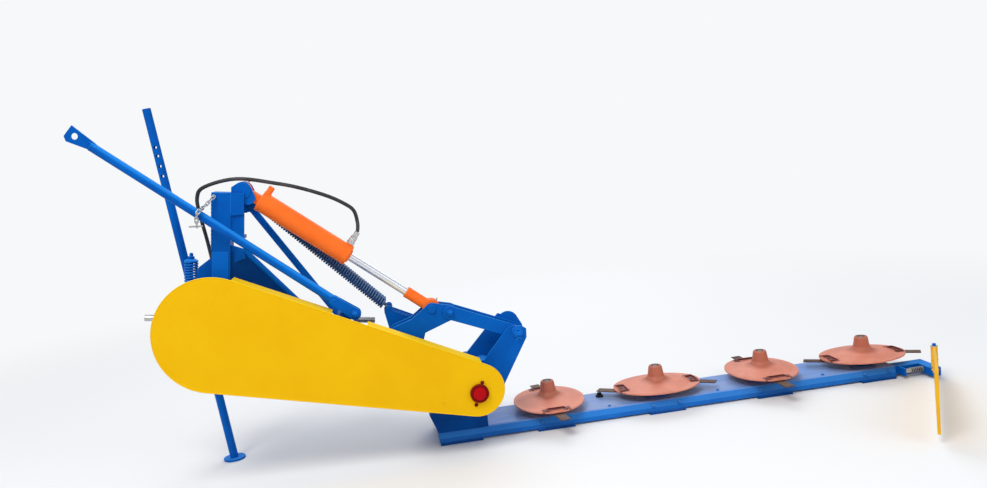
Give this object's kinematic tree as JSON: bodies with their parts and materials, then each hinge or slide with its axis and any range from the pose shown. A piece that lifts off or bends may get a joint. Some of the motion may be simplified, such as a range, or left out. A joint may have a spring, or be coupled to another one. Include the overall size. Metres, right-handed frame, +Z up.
{
  "type": "disc mower",
  "caption": "Rear three-point disc mower parked on its stand: belt drive under a yellow cover, lift linkage with a cylinder and springs, low bar of oval rotors and a divider board.",
  "frame": {"origin": "on the floor, under the shaft of the rotor next to the hitch", "axes": "+X along the cutter bar away from the hitch, +Y the way of travel, +Z up"},
  "size_m": [3.6823, 1.2308, 1.6009],
  "materials": {
    "blue_paint": "gloss",
    "dark_blue_paint": "satin",
    "yellow_paint": "satin",
    "primer": "matt",
    "orange_paint": "satin",
    "red_cap": "gloss",
    "bright_steel": "bright",
    "chrome_rod": "polished",
    "dark_steel": "dark",
    "spring_steel": "satin",
    "belt_rubber": "matt",
    "hose_rubber": "satin"
  },
  "bodies": {
    "hitch": {"hitch_frame": "blue_paint", "hitch_pins": "bright_steel", "mast": "blue_paint", "mast_braces": "blue_paint", "cylinder_clevis": "blue_paint", "stand_socket": "blue_paint", "relief_spring": "dark_steel", "relief_bracket": "blue_paint", "spring_hanger": "blue_paint", "balance_springs": "spring_steel", "chain": "bright_steel", "hose": "hose_rubber", "coupler": "bright_steel"},
    "stand": {"stand": "blue_paint"},
    "drive": {"drive_pulley": "dark_steel"},
    "subframe": {"subframe_beam": "dark_blue_paint", "crank_post": "dark_blue_paint", "spring_post": "blue_paint", "belts": "belt_rubber", "belt_cover": "yellow_paint", "cover_stays": "dark_blue_paint", "cover_cap": "red_cap", "stay_lug": "dark_blue_paint", "stay_bolt": "bright_steel"},
    "stay": {"transport_tube": "blue_paint"},
    "bar": {"bar_beam": "blue_paint", "gearbox": "dark_blue_paint", "skids": "dark_blue_paint", "filler_plug": "bright_steel", "lever": "blue_paint", "outer_arm": "blue_paint", "board_spring": "dark_steel"},
    "driven": {"driven_pulley": "dark_steel"},
    "crank": {"crank": "blue_paint", "crank_pin": "bright_steel"},
    "link": {"pull_link": "blue_paint"},
    "barrel": {"lift_barrel": "orange_paint"},
    "rod": {"lift_rod": "chrome_rod", "rod_eye": "orange_paint"},
    "board": {"divider_board": "yellow_paint"},
    "rotor_1": {"rotor_1": "primer", "knives_1": "dark_steel"},
    "rotor_2": {"rotor_2": "primer", "knives_2": "dark_steel"},
    "rotor_3": {"rotor_3": "primer", "knives_3": "dark_steel"},
    "rotor_4": {"rotor_4": "primer", "knives_4": "dark_steel"}
  },
  "joints": [
    {"name": "subframe_swing", "type": "hinge", "parent": "hitch", "child": "subframe", "pos_m": [-1.387, 0, 0.656], "axis": [0, -1, 0], "range_deg": [-10, 6], "deforming": ["balance_springs", "chain"]},
    {"name": "bar_fold", "type": "hinge", "parent": "subframe", "child": "bar", "pos_m": [-0.353, 0, 0.284], "axis": [0, -1, 0], "range_deg": [-15, 60]},
    {"name": "lift_crank", "type": "hinge", "parent": "subframe", "child": "crank", "pos_m": [-0.625, 0, 0.42], "axis": [0, -1, 0], "range_deg": [-15.98, 63.94]},
    {"name": "link_turn", "type": "hinge", "parent": "crank", "child": "link", "pos_m": [-0.425, 0, 0.6], "axis": [0, -1, 0], "range_deg": [-63.94, 15.98]},
    {"name": "barrel_swing", "type": "hinge", "parent": "hitch", "child": "barrel", "pos_m": [-1.2124, 0, 1.21211], "axis": [0, -1, 0], "range_deg": [-9.6, 2.4], "deforming": ["hose"]},
    {"name": "rod_slide", "type": "slide", "parent": "barrel", "child": "rod", "axis": [0.7723, 0, -0.6352], "range_m": [-0.19111, 0.04778]},
    {"name": "drive_spin", "type": "hinge", "parent": "hitch", "child": "drive", "pos_m": [-1.387, 0, 0.656], "axis": [0, 1, 0], "continuous": true},
    {"name": "driven_spin", "type": "hinge", "parent": "bar", "child": "driven", "pos_m": [-0.353, 0, 0.284], "axis": [0, 1, 0], "continuous": true},
    {"name": "stand_slide", "type": "slide", "parent": "hitch", "child": "stand", "axis": [-0.0976, 0, 0.9952], "range_m": [0, 0.4]},
    {"name": "stay_swing", "type": "hinge", "parent": "subframe", "child": "stay", "pos_m": [-0.82, 0, 0.662], "axis": [0, -1, 0], "range_deg": [-75, 10], "deforming": ["chain"]},
    {"name": "board_swing", "type": "hinge", "parent": "bar", "child": "board", "pos_m": [1.8, -0.208, 0], "axis": [0, 0, 1], "range_deg": [-20, 25]},
    {"name": "rotor_1_spin", "type": "hinge", "parent": "bar", "child": "rotor_1", "pos_m": [0, 0, 0], "axis": [0, 0, 1], "continuous": true},
    {"name": "rotor_2_spin", "type": "hinge", "parent": "bar", "child": "rotor_2", "pos_m": [0.52, 0, 0], "axis": [0, 0, 1], "continuous": true},
    {"name": "rotor_3_spin", "type": "hinge", "parent": "bar", "child": "rotor_3", "pos_m": [1.04, 0, 0], "axis": [0, 0, 1], "continuous": true},
    {"name": "rotor_4_spin", "type": "hinge", "parent": "bar", "child": "rotor_4", "pos_m": [1.56, 0, 0], "axis": [0, 0, 1], "continuous": true}
  ],
  "couplings": [
    {"joint": "lift_crank", "follows": "bar_fold", "ratio": 1.0656},
    {"joint": "link_turn", "follows": "bar_fold", "ratio": -1.0656},
    {"joint": "barrel_swing", "follows": "bar_fold", "ratio": -0.16},
    {"joint": "rod_slide", "follows": "bar_fold", "m_per_rad": -0.1825},
    {"joint": "driven_spin", "follows": "drive_spin", "ratio": 2.4},
    {"joint": "rotor_1_spin", "follows": "drive_spin", "ratio": 5.5},
    {"joint": "rotor_2_spin", "follows": "drive_spin", "ratio": -5.5},
    {"joint": "rotor_3_spin", "follows": "drive_spin", "ratio": 5.5},
    {"joint": "rotor_4_spin", "follows": "drive_spin", "ratio": -5.5}
  ]
}
